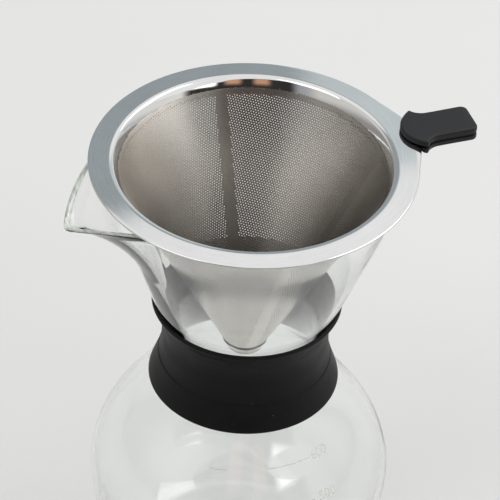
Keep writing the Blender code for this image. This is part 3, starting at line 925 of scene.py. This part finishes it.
def silicone_material(name, tone, rough, speck_amount, specular):
    """Matte black silicone with a fine grain and a few specks of dust."""
    mat, shader, kit, coords = base_material(name)
    cloud = kit.noise(coords, 90.0, 4.0, 0.6)
    dark = tuple(c * 0.8 for c in tone)
    light = tuple(c * 1.25 + 0.002 for c in tone)
    base = kit.ramp(cloud, [(0.3, dark), (0.7, light)])
    cells = kit.new("ShaderNodeTexVoronoi")
    cells.inputs["Scale"].default_value = 420.0
    kit.link(coords, cells.inputs["Vector"])
    pick = kit.new("ShaderNodeSeparateColor")
    kit.link(cells.outputs["Color"], pick.inputs[0])
    rare = kit.span(pick.outputs[0], 1.0 - speck_amount, 1.0 - speck_amount * 0.6, 0.0, 1.0)
    near = kit.span(cells.outputs["Distance"], 0.03, 0.12, 1.0, 0.0)
    speck = kit.math("MULTIPLY", rare, near)
    mix = kit.new("ShaderNodeMix", data_type="RGBA")
    kit.link(kit.math("MULTIPLY", speck, 0.4), mix.inputs[0])
    kit.link(base, mix.inputs[6])
    mix.inputs[7].default_value = (0.22, 0.21, 0.2, 1.0)
    kit.link(mix.outputs[2], shader.inputs["Base Color"])
    kit.link(kit.span(cloud, 0.3, 0.7, rough - 0.05, rough + 0.06), shader.inputs["Roughness"])
    grain = kit.noise(coords, 2600.0, 2.0, 0.5)
    kit.link(kit.bump(grain, 0.25, 0.06 * MM), shader.inputs["Normal"])
    shader.inputs["Specular IOR Level"].default_value = specular
    return mat


def steel_material(name, tone, rough, grain_strength, polished_inside=None):
    """Steel with grain that runs round Z, and a polished part inside the given radius."""
    mat, shader, kit, coords = base_material(name)
    shader.inputs["Metallic"].default_value = 1.0
    ring = polar(kit, coords, 5200.0, 6.0, 5200.0)
    grain = kit.noise(ring, 1.0, 3.0, 0.65)
    cloud = kit.noise(coords, 60.0, 3.0, 0.55)
    both = kit.math("ADD", kit.math("MULTIPLY", grain, 0.6), kit.math("MULTIPLY", cloud, 0.4))
    dark = tuple(c * 0.93 for c in tone)
    light = tuple(min(1.0, c * 1.05) for c in tone)
    color = kit.ramp(both, [(0.35, dark), (0.65, light)])
    kit.link(color, shader.inputs["Base Color"])
    rough_map = kit.span(both, 0.3, 0.7, rough - 0.02, rough + 0.035)
    if polished_inside is not None:
        r = radius_of(kit, split(kit, coords))
        flat = kit.span(r, polished_inside - 0.6 * MM, polished_inside, 0.0, 1.0)
        mirror = kit.span(cloud, 0.3, 0.7, 0.04, 0.08)
        rough_map = blend(kit, flat, mirror, rough_map)
    kit.link(rough_map, shader.inputs["Roughness"])
    kit.link(kit.bump(grain, grain_strength, 0.03 * MM), shader.inputs["Normal"])
    return mat


def direction(azimuth, elevation):
    """Unit vector in the camera's own turn: azimuth 0 is right, 90 is away."""
    a = math.radians(azimuth) + VIEW_TURN
    e = math.radians(elevation)
    return (math.cos(a) * math.cos(e), math.sin(a) * math.cos(e), math.sin(e))


def sheet_material():
    """Rolled steel sheet, glossy outside and duller inside. Outside faces are brighter; inside faces
    carry painted shade that darkens downward and painted light on the spout's side.
    """
    mat, shader, kit, coords = base_material("perforated_steel")
    shader.inputs["Metallic"].default_value = 1.0
    slope = polar(kit, coords, 60.0, 420.0, 60.0)
    grain = kit.noise(slope, 1.0, 3.0, 0.6)
    cloud = kit.noise(coords, 40.0, 3.0, 0.55)
    both = kit.math("ADD", kit.math("MULTIPLY", grain, 0.35), kit.math("MULTIPLY", cloud, 0.65))
    color = kit.ramp(both, [(0.35, (0.48, 0.455, 0.425)), (0.65, (0.54, 0.515, 0.485))])
    # Faces that look up are inside the cone.
    facing = split(kit, kit.new("ShaderNodeNewGeometry").outputs["Normal"])
    inside = kit.span(facing[2], -0.1, 0.1, 0.0, 1.0)
    # Painted shade darkens the inside downward, heaviest away from the spout. On the spout's side painted
    # light takes its place.
    painted_shade = kit.span(split(kit, coords)[2], SHEET_PAINTED_SHADE_LOW, SHEET_PAINTED_SHADE_HIGH, 0.26, 0.7)
    # Mask of the painted light, growing toward the spout's side.
    toward = kit.new("ShaderNodeVectorMath", operation="DOT_PRODUCT")
    kit.link(coords, toward.inputs[0])
    toward.inputs[1].default_value = direction(SHEET_PAINTED_LIGHT_SIDE, 0.0)
    painted_light = kit.span(toward.outputs["Value"], SHEET_PAINTED_LIGHT_START, SHEET_PAINTED_LIGHT_FULL, 0.0, 1.0)
    # Outside faces are 1.3 times brighter. Inside faces get the painted shade, blended into painted light
    # of 1.78 on the spout's side.
    share = blend(kit, inside, 1.3, blend(kit, painted_light, painted_shade, 1.78))
    tinted = kit.new("ShaderNodeVectorMath", operation="SCALE")
    kit.link(color, tinted.inputs[0])
    kit.link(share, tinted.inputs["Scale"])
    kit.link(tinted.outputs[0], shader.inputs["Base Color"])
    rough_outside = kit.span(both, 0.3, 0.7, 0.15, 0.21)
    rough_inside = kit.span(both, 0.3, 0.7, 0.27, 0.33)
    kit.link(blend(kit, inside, rough_outside, rough_inside), shader.inputs["Roughness"])
    kit.link(kit.bump(grain, 0.05, 0.02 * MM), shader.inputs["Normal"])
    return mat


def set_material(obj, mat):
    obj.data.materials.clear()
    obj.data.materials.append(mat)


# ----------------------------------------------------------------- build
glass = glass_material()
sleeve_mat = silicone_material("sleeve_silicone", (0.0028, 0.0028, 0.0031), 0.5, 0.06, 0.14)
grip_mat = silicone_material("grip_silicone", (0.0065, 0.0065, 0.008), 0.5, 0.03, 0.3)
flange_mat = steel_material("flange_steel", (0.63, 0.635, 0.635), 0.07, 0.03, FLANGE_INNER_RADIUS)
sheet_mat = sheet_material()
tip_mat = steel_material("tip_steel", (0.6, 0.58, 0.56), 0.25, 0.15)

carafe = revolve("carafe_glass", angle_list(180.0, 33.0, 0.6, 1.5), glass_section, True, 80.0)
set_material(carafe, glass)
carafe.data.materials.append(rim_material())
for face in carafe.data.polygons:
    x, y, z = face.center
    angle = math.atan2(y, x)
    top = GLASS_TOP - SPOUT_DROP * spout_share(angle) ** SPOUT_DROP_POWER
    if z > top - RIM_BAND:
        face.material_index = 1
carafe.visible_shadow = False
carafe.visible_diffuse = False
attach(carafe, "carafe")
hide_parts("carafe")


def on_bulb(azimuth_deg, z, lift):
    """Point on the outside of the bulb."""
    r = glass_radius(z) + lift
    a = math.radians(azimuth_deg)
    return (r * math.cos(a), r * math.sin(a), z)


def bulb_line(verts, faces, start_deg, end_deg, z, half):
    """A thin printed line round part of the bulb."""
    first = len(verts)
    steps = 24
    for i in range(steps + 1):
        azimuth = start_deg + (end_deg - start_deg) * i / steps
        for rise, lift in ((-half, INK_LOW), (half, INK_LOW), (half, INK_HIGH), (-half, INK_HIGH)):
            verts.append(on_bulb(azimuth, z + rise, lift))
    for i in range(steps):
        a = first + 4 * i
        for k in range(4):
            m = (k + 1) % 4
            faces.append((a + k, a + m, a + m + 4, a + k + 4))
    last = first + 4 * steps
    faces.append((first, first + 1, first + 2, first + 3))
    faces.append((last, last + 1, last + 2, last + 3))


def bulb_number(verts, faces, body, azimuth_deg, z, size):
    """A number of the volume scale, wrapped on the bulb."""
    curve = bpy.data.curves.new("number", "FONT")
    curve.body = body
    curve.size = size
    curve.align_x = "CENTER"
    curve.align_y = "CENTER"
    curve.extrude = 0.5 * (INK_HIGH - INK_LOW)
    obj = bpy.data.objects.new("number", curve)
    bpy.context.scene.collection.objects.link(obj)
    bpy.context.view_layer.update()
    mesh = obj.to_mesh()
    first = len(verts)
    slope = (glass_radius(z + 1.0 * MM) - glass_radius(z - 1.0 * MM)) / (2.0 * MM)
    rise = 1.0 / math.sqrt(1.0 + slope * slope)
    radius = glass_radius(z)
    for v in mesh.vertices:
        lift = 0.5 * (INK_LOW + INK_HIGH) + v.co.z
        verts.append(on_bulb(azimuth_deg + math.degrees(v.co.x / radius), z + v.co.y * rise, lift))
    for face in mesh.polygons:
        faces.append(tuple(first + i for i in face.vertices))
    obj.to_mesh_clear()
    bpy.data.objects.remove(obj, do_unlink=True)


mark_verts = []
mark_faces = []
# first and last azimuth in degrees, height above the base in millimetres
for first_deg, last_deg, rise in [(-101.0, -76.5, 78.0), (-129.0, -120.0, 77.6), (-101.0, -80.0, 65.0)]:
    bulb_line(mark_verts, mark_faces, first_deg, last_deg, STAND + rise * MM, MARK_HALF)
for body, azimuth, rise in [("600", -70.6, 78.2), ("500", -73.6, 65.2)]:
    bulb_number(mark_verts, mark_faces, body, azimuth, STAND + rise * MM, MARK_SIZE)
marks = add_mesh("volume_scale", mark_verts, mark_faces)
fix_normals(marks, 0.001 * MM)
set_material(marks, ink_material())
marks.visible_shadow = False
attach(marks, "carafe")

sleeve = revolve("sleeve", even(240), sleeve_section, False, 50.0)
set_material(sleeve, sleeve_mat)
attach(sleeve, "carafe")
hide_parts("neck_sleeve")

rim = revolve("flange", angle_list(GRIP_AZIMUTH, 23.0, 0.2, 1.25), rim_section, False, 50.0)
set_material(rim, flange_mat)
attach(rim, "filter")
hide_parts("filter_rim")

for index in range(4):
    panel = perforated_panel("cone_panel_%d" % (index + 1), index)
    set_material(panel, sheet_mat)
    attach(panel, "filter")
    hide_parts("filter_cone")

lanes = cone_frame("cone_lanes")
set_material(lanes, sheet_mat)
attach(lanes, "filter")
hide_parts("filter_cone")

tip = revolve("cone_tip", even(96), tip_section, True, 50.0)
set_material(tip, tip_mat)
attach(tip, "filter")
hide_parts("filter_tip")

grip = build_grip()
set_material(grip, grip_mat)
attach(grip, "filter")
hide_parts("grip")


# ----------------------------------------------------------------- stage
def floor():
    """A plain pale floor."""
    size = 3.0
    verts = [(-size, -size, STAND), (size, -size, STAND), (size, size, STAND), (-size, size, STAND)]
    obj = add_mesh("floor", verts, [(0, 1, 2, 3)], False)
    mat, shader, kit, coords = base_material("floor_pale")
    tone = kit.noise(coords, 3.0, 3.0, 0.5)
    color = kit.ramp(tone, [(0.3, (0.60, 0.60, 0.60)), (0.7, (0.63, 0.63, 0.63))])
    kit.link(color, shader.inputs["Base Color"])
    shader.inputs["Roughness"].default_value = 0.6
    set_material(obj, mat)


floor()


def smooth(kit, value, a, b):
    """0 where value is a, 1 where it is b, eased in between."""
    node = kit.new("ShaderNodeMapRange", interpolation_type="SMOOTHSTEP")
    node.inputs["From Min"].default_value = a
    node.inputs["From Max"].default_value = b
    kit.link(value, node.inputs["Value"])
    return node.outputs["Result"]


def off_axis(kit, vector, axis):
    """Angle in degrees between a unit vector and an axis."""
    dot = kit.new("ShaderNodeVectorMath", operation="DOT_PRODUCT")
    kit.link(vector, dot.inputs[0])
    dot.inputs[1].default_value = axis
    return kit.math("MULTIPLY", kit.math("ARCCOSINE", dot.outputs["Value"]), 180.0 / math.pi)


def sky():
    """A bright ceiling, a bright right, a warm left, a bluish far side and a dark near side."""
    world = bpy.data.worlds.new("studio")
    bpy.context.scene.world = world
    world.use_nodes = True
    kit = Nodes(world.node_tree)
    back = world.node_tree.nodes["Background"]
    way = kit.new("ShaderNodeTexCoord").outputs["Generated"]
    parts = split(kit, way)
    flat = kit.new("ShaderNodeCombineXYZ")
    kit.link(parts[0], flat.inputs[0])
    kit.link(parts[1], flat.inputs[1])
    unit = kit.new("ShaderNodeVectorMath", operation="NORMALIZE")
    kit.link(flat.outputs[0], unit.inputs[0])
    height = kit.math("MULTIPLY", kit.math("ARCSINE", parts[2]), 180.0 / math.pi)
    base = kit.new("ShaderNodeRGB")
    base.outputs[0].default_value = (0.50, 0.51, 0.52, 1.0)
    color = base.outputs[0]

    def paint(color, mask, tone):
        mix = kit.new("ShaderNodeMix", data_type="RGBA")
        kit.link(mask, mix.inputs[0])
        kit.link(color, mix.inputs[6])
        mix.inputs[7].default_value = (*tone, 1.0)
        return mix.outputs[2]

    # middle azimuth, half width, softness, lowest and highest elevation, softness, colour
    zones = [
        (98, 40, 8, -90, 90, 1, (0.43, 0.48, 0.50)),
        (74, 14.3, 0.6, -90, 90, 1, (0.77, 0.83, 0.85)),
        (14, 48, 6, 4, 90, 6, (1.05, 1.03, 1.0)),
        (182, 44, 9, -90, 12, 6, (0.40, 0.38, 0.36)),
        (182, 44, 9, 14, 90, 7, (0.9, 0.87, 0.82)),
        (-76, 44, 5, -90, 90, 1, (0.045, 0.042, 0.04)),
        (-44, 11, 4, 23, 44, 3, (5.6, 5.4, 5.1)),
        (-70, 6, 3, 24, 37, 4, (0.80, 0.45, 0.28)),
        (-93, 6, 3, 24, 37, 4, (0.74, 0.42, 0.27)),
    ]
    for middle, half, soft, low, high, edge, tone in zones:
        side = smooth(kit, off_axis(kit, unit.outputs[0], direction(middle, 0)), half + soft, half - soft)
        above = smooth(kit, height, low - edge, low + edge)
        below = smooth(kit, height, high + edge, high - edge)
        color = paint(color, kit.math("MULTIPLY", side, kit.math("MULTIPLY", above, below)), tone)
    ceiling = smooth(kit, off_axis(kit, way, direction(0, 70.8)), 53.3, 52.9)
    color = paint(color, ceiling, (1.18, 1.18, 1.17))
    kit.link(color, back.inputs["Color"])
    back.inputs["Strength"].default_value = 1.0


sky()


def softbox(name, azimuth, elevation, distance, size, power):
    """A square area light that faces the object."""
    data = bpy.data.lights.new(name, "AREA")
    data.shape = "RECTANGLE"
    data.size = size
    data.size_y = size
    data.energy = power
    obj = bpy.data.objects.new(name, data)
    bpy.context.scene.collection.objects.link(obj)
    aim = Vector((0.0, 0.0, TOP * 0.6))
    place = aim + Vector(direction(azimuth, elevation)) * distance
    obj.location = place
    obj.rotation_euler = (aim - place).to_track_quat("-Z", "Y").to_euler()


softbox("key", 25.0, 50.0, 1.4, 0.9, 7.0)
softbox("fill", 215.0, 55.0, 1.5, 0.8, 3.0)

# The camera stands well back and looks down at about 39 degrees.
DISTANCE = 1358.5 * MM
ELEVATION = math.radians(37.984)
YAW = math.radians(-0.012)
PITCH = math.radians(-39.334)
ROLL = math.radians(-2.962)
cam_data = bpy.data.cameras.new("camera")
cam_data.sensor_width = 36.0
cam_data.lens = 271.3
cam = bpy.data.objects.new("camera", cam_data)
bpy.context.scene.collection.objects.link(cam)
local = Matrix.Rotation(YAW, 3, "Z") @ Matrix.Rotation(PITCH, 3, "X") @ Matrix.Rotation(ROLL, 3, "Y")
right = local.col[0]
forward = local.col[1]
up = local.col[2]
turn = Matrix.Rotation(VIEW_TURN, 3, "Z")
basis = Matrix((turn @ right, turn @ up, turn @ (-forward))).transposed()
eye = turn @ Vector((0.0, -DISTANCE * math.cos(ELEVATION), DISTANCE * math.sin(ELEVATION)))
eye.z += TOP
matrix = basis.to_4x4()
matrix.translation = eye
cam.matrix_world = matrix
bpy.context.scene.camera = cam
bpy.context.scene.view_settings.view_transform = "Standard"
